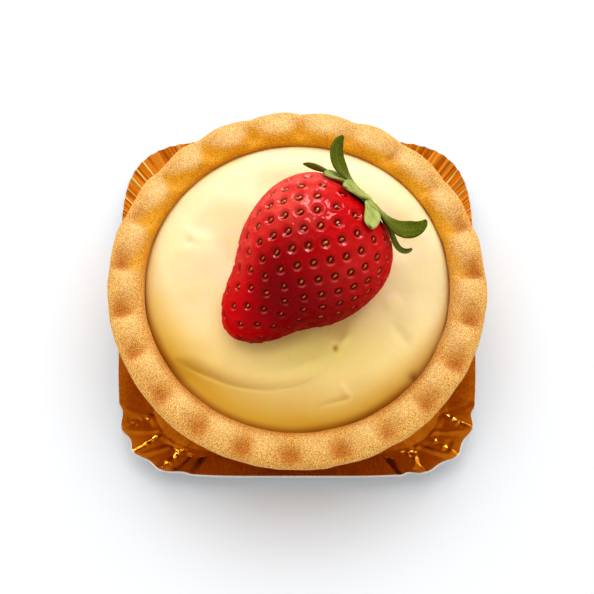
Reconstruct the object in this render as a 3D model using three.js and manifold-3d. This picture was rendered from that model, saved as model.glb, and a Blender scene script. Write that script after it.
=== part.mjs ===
// A custard tartlet with a strawberry pressed into its top, standing in its gold card tray.
// Millimetres, +Z up. The origin is level with the tray's underside, below the middle of the tartlet.
import * as THREE from "three";
import { mergeVertices } from "three/addons/utils/BufferGeometryUtils.js";
import Module from "manifold-3d";

const wasm = await Module();
wasm.setup();

const { sin, cos, abs, sqrt, exp, min, max, pow, round, hypot, atan2, PI } = Math;
const { smoothstep, degToRad } = THREE.MathUtils;

// Driving dimensions
const GAP = 0.3; // clearance between neighbouring pieces
const TART_RADIUS = 40; // outermost edge of the crust
const TART_HEIGHT = 19.2; // crest of the rim above the tray's underside
const BERRY_LENGTH = 39.4;
const BERRY_RADIUS = 15.4;
const TRAY_HALF = 38.3; // half the tray's width at its lip
const TRAY_HEIGHT = 5.8;
const CARD = 0.6; // thickness of the tray's card

// Crust
const CRUST_BOTTOM = CARD + GAP;
const BASE_RADIUS = 31;
const BASE_CHAMFER = 1.8; // bevel at the foot of the wall, outside and inside
const FLOOR_THICKNESS = 3.4;
const RIM_HALF_WIDTH = 3.8;
const RIM_HALF_HEIGHT = 2.4;
const RIM_MID_RADIUS = TART_RADIUS - RIM_HALF_WIDTH;
const RIM_MID_Z = TART_HEIGHT - RIM_HALF_HEIGHT;
const CRIMPS = 22; // finger dents pressed round the rim
const CRIMP_START = degToRad(6.5);
const CRIMP_DEPTH = 1.5;
const CRIMP_REACH = 2.6; // how far a dent spreads across the rim
const CRIMP_DRIFT = degToRad(2.5); // dents at the sides lie this much nearer the front
const SCALLOP = 0.4; // wave of the outer edge between dents
const STEPS_PER_CRIMP = 5;

// Custard
const CUSTARD_EDGE_RADIUS = 32.2; // where the custard meets the crust
const CUSTARD_EDGE_Z = 14;
const CUSTARD_RISE = 4.8; // crown above that edge
const CROWN_SQUARENESS = 3.7;
const CROWN_ROUNDNESS = 0.62;
const SWIRL_STEP = 0.9; // height of the spiral fold left by the spatula
const SWIRL_FROM = degToRad(212);
const SWIRL_TO = degToRad(300);
const SWIRL_FROM_RADIUS = 30.4;
const SWIRL_TO_RADIUS = 17.4;
const CUSTARD_SEGMENTS = 60;
const CUSTARD_RINGS = 12;

// Strawberry, described in its own frame: tip at the origin, axis along +Z
const BERRY_TIP = new THREE.Vector3(-14.1, -12.1, 21.9);
const BERRY_TURN = degToRad(41.8); // heading of the leafy end, seen from above
const BERRY_TILT = degToRad(18); // the leafy end lies higher than the tip
const BERRY_SWELL = 1.74; // moves the widest part towards the leaves
const BERRY_BLUNTNESS = 0.32;
const BERRY_WAIST = 1.4; // hollow of the flank near the tip
const SEEDS = 215;
const GOLDEN_ANGLE = PI * (3 - sqrt(5));
const PIT_DEPTH = 0.6;
const PIT_RADIUS = 1.25;
const BERRY_SEGMENTS = 64;
const BERRY_RINGS = 35;

// Leaves. Each clings to the berry's shoulder, then curls free; angles in degrees.
const LEAF_THICKNESS = 0.6;
const LEAF_ROOT = 1.5; // distance of each root from the axis
const LEAF_LAYER = 0.25; // neighbouring leaves lie in two layers
const LEAF_STEPS = 7;
const LEAF_COLUMNS = 4;
const CAP_RADIUS = 5.2;
const CAP_HEIGHT = 1.2;
const LEAVES = [
  { turn: -12, length: 17, width: 2.8, cling: 8, curl: -4, roll: 20 },
  { turn: 23, length: 16.9, width: 4.8, cling: 2.1, curl: 98, roll: -66 },
  { turn: 36, length: 11, width: 5.8, cling: 10, curl: 5, roll: 0 },
  { turn: 74, length: 9, width: 6.4, cling: 8, curl: 5, roll: 0 },
  { turn: 126, length: 13.2, width: 5, cling: 10.2, curl: 40, roll: 0 },
  { turn: 176, length: 17.8, width: 6.6, cling: 3, curl: 116, roll: 64 },
  { turn: 181, length: 16.8, width: 3.6, cling: 8.9, curl: 130, roll: 45 },
  { turn: 236, length: 12.5, width: 5.2, cling: 9, curl: 15, roll: 0 },
  { turn: 290, length: 12.5, width: 4.8, cling: 8, curl: 40, roll: 0 },
];

// Tray
const TRAY_BASE_HALF = 31.5;
const TRAY_SQUARENESS = 5.2;
const STEPS_PER_PLEAT = 5;
const STEPS_PER_SIDE = 8;
const TRAY_CORNERS = [
  { middle: degToRad(44), reach: degToRad(17.5), pleats: 9, height: 0.3, bulge: 0 },
  { middle: degToRad(136), reach: degToRad(17.5), pleats: 9, height: 0.3, bulge: 0 },
  { middle: degToRad(224.5), reach: degToRad(12.3), pleats: 3, height: 0.6, bulge: 0.5 },
  { middle: degToRad(314.5), reach: degToRad(12.3), pleats: 3, height: 0.6, bulge: 0.5 },
];

const finishes = {
  pastry: { color: 0xe0a55c, roughness: 0.85, metalness: 0 },
  custard: { color: 0xf3d98c, roughness: 0.35, metalness: 0 },
  berry: { color: 0xb3101a, roughness: 0.25, metalness: 0 },
  leaf: { color: 0x6f9436, roughness: 0.6, metalness: 0 },
  gold: { color: 0xb8741c, roughness: 0.28, metalness: 1 },
};

// Joining and cutting

function toSolid(geometry) {
  const bare = new THREE.BufferGeometry();
  bare.setAttribute("position", geometry.getAttribute("position"));
  bare.setIndex(geometry.index);
  const merged = mergeVertices(bare, 1e-3);
  const corners = merged.index.array;
  const kept = [];
  for (let i = 0; i < corners.length; i += 3) {
    const [a, b, c] = corners.slice(i, i + 3);
    if (a !== b && b !== c && c !== a) kept.push(a, b, c);
  }
  return new wasm.Manifold(
    new wasm.Mesh({
      numProp: 3,
      vertProperties: merged.attributes.position.array,
      triVerts: new Uint32Array(kept),
    }),
  );
}

function toGeometry(solid) {
  const { vertProperties, triVerts } = solid.getMesh();
  const geometry = new THREE.BufferGeometry();
  geometry.setAttribute("position", new THREE.BufferAttribute(vertProperties, 3));
  geometry.setIndex(new THREE.BufferAttribute(triVerts, 1));
  return geometry;
}

// Moves every point of a geometry by a rule that changes the point in place.
function reshape(geometry, rule) {
  const place = geometry.getAttribute("position");
  const point = new THREE.Vector3();
  for (let i = 0; i < place.count; i++) {
    point.fromBufferAttribute(place, i);
    rule(point);
    place.setXYZ(i, point.x, point.y, point.z);
  }
  return geometry;
}

// Turns a profile of (radius, height) points round the Z axis; the first column stands at angle start.
function revolve(profile, segments, start = 0) {
  return new THREE.LatheGeometry(profile, segments, start + PI / 2).rotateX(PI / 2);
}

// A closed body from a closed strip of rows: each row is a ring of points, and both ends are capped.
function skinRings(rings) {
  const columns = rings[0].length;
  const places = rings.flat().flatMap((p) => [p.x, p.y, p.z]);
  const corners = [];
  const at = (ring, column) => ring * columns + (column % columns);
  for (let ring = 0; ring + 1 < rings.length; ring++) {
    for (let column = 0; column < columns; column++) {
      const [a, b] = [at(ring, column), at(ring, column + 1)];
      const [c, d] = [at(ring + 1, column), at(ring + 1, column + 1)];
      corners.push(a, b, d, a, d, c);
    }
  }
  const geometry = new THREE.BufferGeometry();
  geometry.setAttribute("position", new THREE.Float32BufferAttribute(places, 3));
  geometry.setIndex(corners);
  return geometry;
}

// Crust

// 0 at the bottom of a dent, 1 on the hump between two dents.
function humpAt(angle) {
  return pow(abs(sin((CRIMPS / 2) * (angle - CRIMP_START))), 0.7);
}

function crimp(point) {
  const radius = hypot(point.x, point.y);
  if (radius < CUSTARD_EDGE_RADIUS || point.z < RIM_MID_Z - RIM_HALF_HEIGHT) return;
  const angle = atan2(point.y, point.x);
  const hump = humpAt(angle);
  const top = smoothstep(point.z, RIM_MID_Z, TART_HEIGHT);
  const across = (radius - RIM_MID_RADIUS - 0.6) / CRIMP_REACH;
  point.z -= CRIMP_DEPTH * (1 - hump) * top * exp(-across * across);
  const edge = smoothstep(radius, RIM_MID_RADIUS + 1, TART_RADIUS);
  const grown = radius + SCALLOP * (hump - 0.7) * edge;
  const turned = angle - CRIMP_DRIFT * cos(angle);
  point.x = grown * cos(turned);
  point.y = grown * sin(turned);
}

function makeCrust() {
  const wallTop = RIM_MID_Z - RIM_HALF_HEIGHT;
  const floorTop = CRUST_BOTTOM + FLOOR_THICKNESS;
  const innerFloor = BASE_RADIUS - FLOOR_THICKNESS;
  const outline = new THREE.Path();
  outline.moveTo(0, CRUST_BOTTOM);
  outline.lineTo(BASE_RADIUS - BASE_CHAMFER, CRUST_BOTTOM);
  outline.lineTo(BASE_RADIUS + BASE_CHAMFER / 2, CRUST_BOTTOM + BASE_CHAMFER);
  outline.lineTo(TART_RADIUS - RIM_HALF_WIDTH / 2, wallTop);
  outline.absellipse(RIM_MID_RADIUS, RIM_MID_Z, RIM_HALF_WIDTH, RIM_HALF_HEIGHT, -PI / 6, PI, false);
  outline.lineTo(CUSTARD_EDGE_RADIUS, CUSTARD_EDGE_Z);
  outline.lineTo(innerFloor + BASE_CHAMFER / 2, floorTop + BASE_CHAMFER);
  outline.lineTo(innerFloor - BASE_CHAMFER, floorTop);
  outline.lineTo(0, floorTop);
  const shell = revolve(outline.getPoints(4), CRIMPS * STEPS_PER_CRIMP, CRIMP_START);
  return reshape(shell, crimp);
}

// Custard

function crownAt(radius) {
  const share = min(1, radius / CUSTARD_EDGE_RADIUS);
  return CUSTARD_RISE * pow(1 - pow(share, CROWN_SQUARENESS), CROWN_ROUNDNESS);
}

// The spatula's spiral fold: the custard outside it lies a step lower.
function swirlAt(radius, angle) {
  const turn = angle < 0 ? angle + 2 * PI : angle;
  const along = (turn - SWIRL_FROM) / (SWIRL_TO - SWIRL_FROM);
  const fold = SWIRL_FROM_RADIUS + (SWIRL_TO_RADIUS - SWIRL_FROM_RADIUS) * pow(max(0, along), 0.72);
  const reach = smoothstep(along, 0, 0.2) * (1 - smoothstep(along, 0.75, 1));
  const past = smoothstep(radius, fold - 0.8, fold + 1.2) * (1 - smoothstep(radius, fold + 2, CUSTARD_EDGE_RADIUS));
  return -SWIRL_STEP * reach * past;
}

function makeCustard(berryRoom) {
  const bottom = CRUST_BOTTOM + FLOOR_THICKNESS + GAP;
  const bottomRadius = BASE_RADIUS - FLOOR_THICKNESS - BASE_CHAMFER;
  const edge = CUSTARD_EDGE_RADIUS - GAP;
  const profile = [
    new THREE.Vector2(0, bottom),
    new THREE.Vector2(bottomRadius, bottom),
    new THREE.Vector2(bottomRadius + BASE_CHAMFER, bottom + BASE_CHAMFER),
  ];
  for (let ring = CUSTARD_RINGS; ring >= 0; ring--) {
    profile.push(new THREE.Vector2(edge * sin((PI / 2) * (ring / CUSTARD_RINGS)), CUSTARD_EDGE_Z));
  }
  const body = reshape(revolve(profile, CUSTARD_SEGMENTS), (point) => {
    if (point.z < CUSTARD_EDGE_Z - 0.01) return;
    const radius = hypot(point.x, point.y);
    point.z += crownAt(radius * (CUSTARD_EDGE_RADIUS / edge)) + swirlAt(radius, atan2(point.y, point.x));
  });
  return toGeometry(toSolid(body).subtract(berryRoom));
}

// Strawberry

function berryRadiusAt(share) {
  const bulge = pow(max(0, sin(PI * pow(share, BERRY_SWELL))), BERRY_BLUNTNESS);
  const waist = BERRY_WAIST * exp(-pow((share - 0.27) / 0.12, 2));
  return max(0, BERRY_RADIUS * bulge - waist * smoothstep(share, 0, 0.1));
}

// The seeds' places, spread evenly over the skin along a spiral from tip to leaves.
function seedPlaces() {
  const samples = 400;
  const covered = [0];
  for (let i = 1; i <= samples; i++) covered.push(covered[i - 1] + berryRadiusAt((i - 0.5) / samples));
  const places = [];
  let i = 0;
  for (let seed = 0; seed < SEEDS; seed++) {
    const wanted = (covered[samples] * (seed + 0.5)) / SEEDS;
    while (covered[i] < wanted) i++;
    places.push({ share: i / samples, turn: seed * GOLDEN_ANGLE });
  }
  return places;
}

function berryProfile(grown) {
  const profile = [];
  for (let ring = 0; ring <= BERRY_RINGS; ring++) {
    const share = (1 - cos((PI * ring) / BERRY_RINGS)) / 2;
    const radius = ring === 0 || ring === BERRY_RINGS ? 0 : berryRadiusAt(share) + grown;
    profile.push(new THREE.Vector2(radius, share * (BERRY_LENGTH + 2 * grown) - grown));
  }
  return profile;
}

function makeBerry() {
  const seeds = seedPlaces();
  return reshape(revolve(berryProfile(0), BERRY_SEGMENTS), (point) => {
    const radius = hypot(point.x, point.y);
    if (radius < 1) return;
    const turn = atan2(point.y, point.x);
    let pit = 0;
    for (const seed of seeds) {
      const aside = (turn - seed.turn) / (2 * PI);
      const across = radius * 2 * PI * (aside - round(aside));
      const along = point.z - seed.share * BERRY_LENGTH;
      pit = max(pit, exp(-(across * across + along * along) / (PIT_RADIUS * PIT_RADIUS)));
    }
    const shrunk = 1 - (PIT_DEPTH * pit) / radius;
    point.x *= shrunk;
    point.y *= shrunk;
  });
}

// The berry's smooth outline with clearance all round, for cutting its neighbours.
function makeBerryRoom() {
  return toSolid(revolve(berryProfile(GAP), BERRY_SEGMENTS));
}

// Leaves

// The berry's skin at a distance from the leafy end's middle: radius, height and slope.
function shoulderAt(distance) {
  const step = 0.0005;
  let radius = 0;
  let height = BERRY_LENGTH;
  for (let share = 1 - step; share > 0.3; share -= step) {
    const wider = berryRadiusAt(share) - radius;
    const lower = height - share * BERRY_LENGTH;
    const stride = hypot(wider, lower);
    const part = min(1, distance / stride);
    radius += wider * part;
    height -= lower * part;
    distance -= stride;
    if (distance <= 0) return { radius, height, slope: atan2(-lower, wider) };
  }
}

// A leaf's middle line at a distance from the axis: along the shoulder, then freely curling.
function spineAt({ length, cling, curl }, distance) {
  const place = shoulderAt(min(distance, cling));
  const strides = 12;
  const stride = max(0, distance - cling) / strides;
  const from = place.slope;
  for (let k = 0; k < strides; k++) {
    const share = (stride * (k + 0.5)) / (length - cling);
    place.slope = from + degToRad(curl) * share * share;
    place.radius += stride * cos(place.slope);
    place.height += stride * sin(place.slope);
  }
  return place;
}

// One leaf: rows of a closed section, from the root out to the tip.
function makeLeaf(leaf, layer) {
  const { turn, length, width, cling, roll } = leaf;
  const heading = degToRad(turn);
  const outward = new THREE.Vector3(cos(heading), sin(heading), 0);
  const sideways = new THREE.Vector3(-sin(heading), cos(heading), 0);
  const upward = new THREE.Vector3(0, 0, 1);
  const rings = [];
  for (let step = 0; step <= LEAF_STEPS; step++) {
    const share = step / LEAF_STEPS;
    const distance = LEAF_ROOT + (length - LEAF_ROOT) * share;
    const { radius, height, slope } = spineAt(leaf, distance);
    const spine = outward.clone().multiplyScalar(radius).setZ(height);
    const ahead = outward.clone().multiplyScalar(cos(slope)).addScaledVector(upward, sin(slope));
    const twist = degToRad(roll) * smoothstep(distance, cling, length);
    const across = sideways.clone().applyAxisAngle(ahead, twist);
    const face = new THREE.Vector3().crossVectors(ahead, across);
    spine.addScaledVector(face, 1.5 * GAP + layer);
    const taper = pow(1 - pow(share, 3.2), 0.6) * (0.6 + 0.4 * smoothstep(share, 0, 0.5));
    const half = (width / 2) * max(0.08, taper);
    const top = [];
    const underside = [];
    for (let column = 0; column <= LEAF_COLUMNS; column++) {
      const side = 1 - (2 * column) / LEAF_COLUMNS;
      const cup = 0.16 * half * side * side;
      const spot = spine.clone().addScaledVector(across, side * half).addScaledVector(face, cup);
      underside.unshift(spot);
      top.push(spot.clone().addScaledVector(face, LEAF_THICKNESS));
    }
    rings.push([...top, ...underside]);
  }
  return closeEnds(rings);
}

// Shuts a skin of rings at both ends by drawing the first and the last ring to their middles.
function closeEnds(rings) {
  const middle = (ring) => {
    const sum = ring.reduce((total, p) => total.add(p), new THREE.Vector3());
    return ring.map(() => sum.clone().divideScalar(ring.length));
  };
  return skinRings([middle(rings[0]), ...rings, middle(rings.at(-1))]);
}

function makeLeaves(berryRoom) {
  const bottom = BERRY_LENGTH + GAP;
  const capProfile = [
    new THREE.Vector2(0, bottom),
    new THREE.Vector2(CAP_RADIUS, bottom),
    new THREE.Vector2(CAP_RADIUS, bottom + 0.5 * CAP_HEIGHT),
    new THREE.Vector2(0.6 * CAP_RADIUS, bottom + CAP_HEIGHT),
    new THREE.Vector2(0, bottom + 1.2 * CAP_HEIGHT),
  ];
  let joined = toSolid(revolve(capProfile, 20));
  LEAVES.forEach((leaf, i) => {
    joined = joined.add(toSolid(makeLeaf(leaf, (i % 2) * LEAF_LAYER)));
  });
  return toGeometry(joined.subtract(berryRoom));
}

// Tray

function squareRadius(half, angle) {
  const across = pow(abs(cos(angle)), TRAY_SQUARENESS) + pow(abs(sin(angle)), TRAY_SQUARENESS);
  return half / pow(across, 1 / TRAY_SQUARENESS);
}

// How far the pleats lift and push out the lip: full in a corner, nothing along the straight sides.
function pleatAt(angle) {
  for (const { middle, reach, pleats, height, bulge } of TRAY_CORNERS) {
    const aside = (angle - middle) / reach;
    if (abs(aside) >= 1) continue;
    const wave = cos(PI * pleats * aside) * (1 - pow(aside, 6));
    return { lift: height * wave, push: bulge * wave };
  }
  return { lift: 0, push: 0 };
}

// The angles of the tray's columns: close together in the pleated corners, sparse along the sides.
function trayAngles() {
  const angles = [];
  TRAY_CORNERS.forEach((corner, i) => {
    const next = TRAY_CORNERS[(i + 1) % TRAY_CORNERS.length];
    const steps = corner.pleats * STEPS_PER_PLEAT;
    for (let k = 0; k < steps; k++) angles.push(corner.middle + corner.reach * ((2 * k) / steps - 1));
    const from = corner.middle + corner.reach;
    const to = next.middle - next.reach + (i + 1 === TRAY_CORNERS.length ? 2 * PI : 0);
    for (let k = 0; k < STEPS_PER_SIDE; k++) angles.push(from + ((to - from) * k) / STEPS_PER_SIDE);
  });
  return angles;
}

// The card's upper face at a share of the way up its wall, from the base's edge to the lip.
function trayPoint(angle, share, lowered) {
  const { lift, push } = pleatAt(angle % (2 * PI));
  const half = TRAY_BASE_HALF + (TRAY_HALF - TRAY_BASE_HALF) * share;
  const radius = squareRadius(half, angle) + push * share;
  const height = CARD + (TRAY_HEIGHT - CARD) * pow(share, 1.15) + lift * share * share;
  return new THREE.Vector3(radius * cos(angle), radius * sin(angle), height - lowered);
}

function makeTray() {
  const angles = trayAngles();
  const ring = (share, lowered) => angles.map((angle) => trayPoint(angle, share, lowered));
  const shares = [0, 0.5, 1];
  const upper = shares.map((share) => ring(share, 0));
  const lower = shares.map((share) => ring(share, CARD)).reverse();
  const flat = (height) => angles.map(() => new THREE.Vector3(0, 0, height));
  return skinRings([flat(CARD), ...upper, ...lower, flat(0)].reverse());
}

// Assembly

function node(name, geometry, finish) {
  const mesh = new THREE.Mesh(geometry, new THREE.MeshStandardMaterial(finish));
  mesh.name = name;
  return mesh;
}

function berryFrame() {
  const axis = new THREE.Vector3(
    cos(BERRY_TURN) * cos(BERRY_TILT),
    sin(BERRY_TURN) * cos(BERRY_TILT),
    sin(BERRY_TILT),
  );
  const level = new THREE.Vector3(-sin(BERRY_TURN), cos(BERRY_TURN), 0);
  const up = new THREE.Vector3().crossVectors(axis, level);
  return new THREE.Matrix4().makeBasis(level, up, axis).setPosition(BERRY_TIP);
}

const frame = berryFrame();
const berryRoom = makeBerryRoom();
const placedRoom = berryRoom.transform(frame.elements);

const topping = new THREE.Group();
topping.applyMatrix4(frame);
topping.add(node("strawberry", makeBerry(), finishes.berry));
topping.add(node("leaves", makeLeaves(berryRoom), finishes.leaf));

const tartlet = new THREE.Group();
tartlet.add(node("tray", makeTray(), finishes.gold));
tartlet.add(node("crust", makeCrust(), finishes.pastry));
tartlet.add(node("custard", makeCustard(placedRoom), finishes.custard));
tartlet.add(topping);

export default tartlet;
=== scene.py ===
import math
import random

import bmesh
import bpy
from mathutils import Matrix, Vector, noise
from mathutils.bvhtree import BVHTree
from mathutils.kdtree import KDTree


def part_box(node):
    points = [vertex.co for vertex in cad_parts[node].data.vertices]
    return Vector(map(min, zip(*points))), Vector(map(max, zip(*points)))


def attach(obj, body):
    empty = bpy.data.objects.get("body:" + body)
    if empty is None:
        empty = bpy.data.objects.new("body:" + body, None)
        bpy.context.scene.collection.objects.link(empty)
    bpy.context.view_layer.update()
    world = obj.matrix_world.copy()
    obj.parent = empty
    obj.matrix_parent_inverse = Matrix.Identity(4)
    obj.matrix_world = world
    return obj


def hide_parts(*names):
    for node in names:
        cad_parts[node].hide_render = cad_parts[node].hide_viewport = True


# A custard tartlet with a strawberry on top, in its gold card tray.
# Pieces are shaped in millimetres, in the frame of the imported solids, and handed over in metres.

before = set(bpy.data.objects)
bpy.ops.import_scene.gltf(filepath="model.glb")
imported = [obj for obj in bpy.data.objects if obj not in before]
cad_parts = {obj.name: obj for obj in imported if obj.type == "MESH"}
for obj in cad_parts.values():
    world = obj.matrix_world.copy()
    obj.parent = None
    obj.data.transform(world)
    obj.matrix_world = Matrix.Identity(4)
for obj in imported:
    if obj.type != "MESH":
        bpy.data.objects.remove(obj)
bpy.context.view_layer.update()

MM = 0.001
SEAM = 0.001  # points closer than this are one point
FULL_TURN = 2 * math.pi

# Crust
CRUST_LOW, CRUST_HIGH = (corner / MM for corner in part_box("crust"))
CRUST_BOTTOM = CRUST_LOW.z
TART_HEIGHT = CRUST_HIGH.z  # crest of the rim
TART_RADIUS = 40.0
BASE_RADIUS = 31.0
FOOT_ROUND = 2.2
FOOT_INSET = 1.6  # from the base's edge to the middle of the foot's rounding
FLOOR_THICKNESS = 3.4
HOLLOW_FOOT = BASE_RADIUS - FLOOR_THICKNESS
HOLLOW_CHAMFER = 1.8
RIM_HALF_WIDTH = 3.8
RIM_HALF_HEIGHT = 2.4
RIM_MID_RADIUS = TART_RADIUS - RIM_HALF_WIDTH
RIM_MID_Z = TART_HEIGHT - RIM_HALF_HEIGHT
CRIMPS = 22
CRIMP_START = math.radians(6.5)
CRIMP_DEPTH = 1.6
CRIMP_REACH = 2.6
CRIMP_OUT = 0.6  # a crimp's deepest place, outside the middle of the rim
CRIMP_FAR_SHIFT = 1.6  # and how much further in it lies on the far side
CRIMP_SHARPNESS = 0.9
SCALLOP = 0.45  # how far the humps stand out round the rim
BROWNING_WIDTH = 3.8  # degrees, on the front and back of the rim
BROWNING_LEAN = (2.6, -2.8)  # degrees wider on a side crimp's far half, narrower on its near half: the far half faces away from the lamp and is painted darker as shade
BROWNING_REACH = 2.7
CRACK_ANGLE = math.radians(55.5)  # a short split across the rim
CRACK_RADIUS = 35.2
CRACK_DEPTH = 0.5
RIM_WAVE = 0.28
RIM_DROP = 0.15
RIM_WANDER = 0.3  # how far the rim's outline wanders in and out
CRUST_LUMPS = [(0.22, 4.5), (0.10, 1.4)]  # height and size of the dough's unevenness
HOLLOW_SHIFT = 0.6  # the hollow sits this far behind the middle of the shell
CRUST_STEPS = 528

# Custard
CUSTARD_EDGE = 32.3
CUSTARD_OVERLAP = 0.1  # how far the edge goes into the shell's wall
CUSTARD_EDGE_Z = 13.9
CUSTARD_RISE = 4.9
CUSTARD_BOTTOM = CRUST_BOTTOM + FLOOR_THICKNESS + 0.1  # just clear of the shell's floor
CROWN_SQUARENESS = 3.8
CROWN_ROUNDNESS = 0.62
FAR_LIP = 0.4  # rise against the far wall, and 1 more at its right
BED_OVERLAP = 0.4  # how far the custard goes into the berry that rests on it
BED_RIM = 0.35  # height of the custard pushed up round the berry
BED_RIM_AWAY = 3.0
FOLD_FROM = math.radians(212)
FOLD_TO = math.radians(300)
FOLD_RADIUS = 30.6
FOLD_DRIFT = 11.6
FOLD_ROUND = 3.2
FOLD_STEP = 1.5
CUSTARD_LUMPS = [(0.75, 11), (0.25, 5)]  # height and size of its soft waves
CUSTARD_RINGS = 110
CUSTARD_STEPS = 320

# Soft marks of the spatula in the custard: both ends in plan, height and width
CUSTARD_RIDGES = [
    ((9.0, -22.0), (11.4, -25.0), 0.6, 0.8),
    ((8.9, -14.2), (10.8, -12.2), 0.4, 0.8),
    ((7.6, -11.4), (10.4, -9.6), -0.3, 1.4),
    ((20.2, -8.8), (23.2, -13.2), -0.5, 1.1),
    ((18.6, -5.4), (21.4, -3.6), 0.5, 1.8),
    ((-1.5, -19.0), (5.0, -17.2), 0.3, 1.3),
    ((-24.0, 12.4), (-20.5, 9.4), 0.2, 1.2),
]
LIP_CREASE = (Vector((4.0, -26.5)), Vector((10.7, -24.8)))
# Round dents in the custard: middle in plan, width and depth; the hole and the nick are also painted
# darker as shade
CUSTARD_HOLE = ((8.0, -14.4), 0.6, 0.7)
CUSTARD_NICK = ((24.6, -20.0), 1.1, 0.6)
CUSTARD_DIMPLE = ((-22.6, 9.2), 0.9, 0.25)
# Colour alone: a painted shadow in front of the berry, and painted fill light that brightens and warms the
# custard's front in the berry's shade
CUSTARD_BERRY_SHADOW = ((8.5, -9.5), 2.4)
FILL_MIDDLE = (2, -15)
FILL_REACH = (24, 10)

# Strawberry: tip at the origin and axis along +Z, until it is laid on the custard
BERRY_LENGTH = 39.4
BERRY_RADIUS = 15.4
BERRY_SWELL = 1.74
BERRY_BLUNTNESS = 0.32
BERRY_WAIST = 1.4
BERRY_TIP = Vector((-14.1, -12.1, 21.9))
BERRY_TURN = math.radians(41.8)
BERRY_TILT = math.radians(18)
BERRY_COLUMNS = 340
BERRY_ROWS = 260
SEEDS = 215
GOLDEN_ANGLE = math.pi * (3 - math.sqrt(5))
PIT_DEPTH = 0.62
PIT_RADIUS = 0.98
PIT_BANK = 0.24  # swelling of the skin round each pit
SKIN_GRAIN = 0.07
SKIN_GRAIN_SIZE = 0.8
PIT_GLINT_SIDE = Vector((-0.83, 0, -0.56))  # the near bank of a pit, where a painted glint lies
RIPE_SHARE = 0.36  # of the length from the tip, where the red is deepest
SHOULDER_SHARE = 0.76  # of the length from the tip, where the painted highlight on the shoulder under the leaves is strongest
SEED_SIZE = (0.27, 0.21, 0.55)  # half width, half thickness, half length
SEED_TAPER = 0.32
SEED_PROUD = 0.16  # from the pit's floor to the seed's middle

# Leaves: turn round the berry's axis, length, width, how far each clings, curl, roll, and paleness, which
# is mostly painted light: pale on the lit leaves, dark on the shaded ones
LEAVES = [
    (-12, 17.0, 2.8, 8.0, -4, 20, 0.08),
    (23, 16.9, 4.8, 2.1, 98, -66, 0.08),
    (36, 11.0, 5.8, 10.0, 5, 0, 0.9),
    (74, 9.0, 6.4, 8.0, 5, 0, 0.8),
    (126, 13.2, 5.0, 10.2, 40, 0, 1.0),
    (176, 17.8, 6.6, 3.0, 116, 64, 0.0),
    (181, 16.8, 3.6, 8.9, 130, 45, 0.15),
    (236, 12.5, 5.2, 9.0, 15, 0, 0.3),
    (290, 12.5, 4.8, 8.0, 40, 0, 0.3),
]
LEAF_ROOT = 1.5
LEAF_LIFT = 0.45
LEAF_LAYER = 0.25
LEAF_THICKNESS = 0.5
LEAF_CUP = 0.16
LEAF_RIPPLE = 0.22
LEAF_RIPPLE_SHIFT = 1.7  # so that no two leaves ripple alike
LEAF_GROOVE = 0.14
LEAF_COLUMNS = 12
LEAF_ROWS = 40
LEAF_MASKS = ("lit_paleness", "vein", "tip")
CAP_RADIUS = 5.2
CAP_HEIGHT = 1.2
CAP_ROUND = 0.6
CAP_KNOB = 1.2  # radius of the stub in the middle of the cap
CAP_GAP = 0.1
CAP_STEPS = 60

# Tray
CARD = 0.5  # thickness
TRAY_HALF = 38.3
TRAY_HEIGHT = 5.8
TRAY_BASE_HALF = 31.5
TRAY_SQUARENESS = 5.2
TRAY_FLARE = 1.15
TRAY_WALL_LEAN = math.radians(36)
TRAY_CREASE = math.radians(50)  # edges sharper than this stay sharp
TRAY_STEPS = 1320
TRAY_WALL_ROWS = 26
# Pleated corners: middle and period in degrees, number of pleats, lift and push of the lip
TRAY_CORNERS = [
    (44, 2.9, 12, 0.24, 0.0),
    (136, 2.9, 12, 0.24, 0.0),
    (224.5, 8.2, 3, 0.7, 0.5),
    (314.5, 8.2, 3, 0.7, 0.5),
]
# Small folds pressed into the foil at the front corners: both ends in plan, and height
FOIL_FOLDS = [
    ((-37.0, -23.2), (-30.2, -23.7), 0.16),
    ((-36.2, -25.1), (-31.0, -25.3), -0.14),
    ((-36.8, -28.2), (-27.8, -26.3), 0.3),
    ((-34.0, -33.9), (-26.8, -30.2), 0.3),
    ((-26.8, -30.2), (-22.8, -31.5), -0.24),
    ((-27.3, -26.0), (-26.7, -29.8), 0.26),
    ((-23.5, -30.2), (-22.8, -32.2), 0.24),
    ((-22.8, -32.0), (-26.0, -36.4), -0.28),
    ((30.1, -23.0), (37.4, -21.9), -0.22),
    ((30.4, -23.8), (34.0, -24.6), 0.14),
    ((27.6, -26.7), (36.8, -28.2), 0.3),
    ((25.1, -29.9), (33.4, -34.0), 0.3),
    ((24.0, -29.6), (25.2, -31.6), -0.24),
    ((25.2, -31.4), (25.0, -36.4), 0.26),
    ((32.6, -29.6), (31.8, -32.4), -0.2),
]
FOIL_FOLD_WIDTH = 0.9
FOIL_CRUMPLE = 0.3
FOIL_STRIPE = 0.6  # degrees, about the width of a painted reflection streak at the back corners

# Floor, light and camera, in metres
FLOOR_HALF = 4
LIGHT_TARGET = (0, 0, 0.02)
WIDE_LAMP = {"place": (0.0, 1.2, 1.84), "width": 3.4, "height": 2.8, "power": 34.0}
GLOSS_PANEL = {"place": (0.0, 1.19, 1.0), "width": 1.0, "height": 0.85, "power": 115.0}
OVERHEAD = (0, -0.33, 0.94)  # the direction in which the surround is dimmest
SURROUND_LEVELS = (1.15, 0.62)  # at the sides and overhead
BACKDROP = (0.9, 0.9, 0.91)
CAMERA_AWAY = 0.7
CAMERA_ELEVATION = math.radians(70.8)
CAMERA_TARGET = Vector((0, -1.85, 16.35)) * MM
CAMERA_LENS = 201
CAMERA_SENSOR = 36
EXPOSURE = -0.17


def smooth(value, low, high):
    """0 below low, 1 above high, and an even curve between them."""
    share = min(1.0, max(0.0, (value - low) / (high - low)))
    return share * share * (3 - 2 * share)


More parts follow.
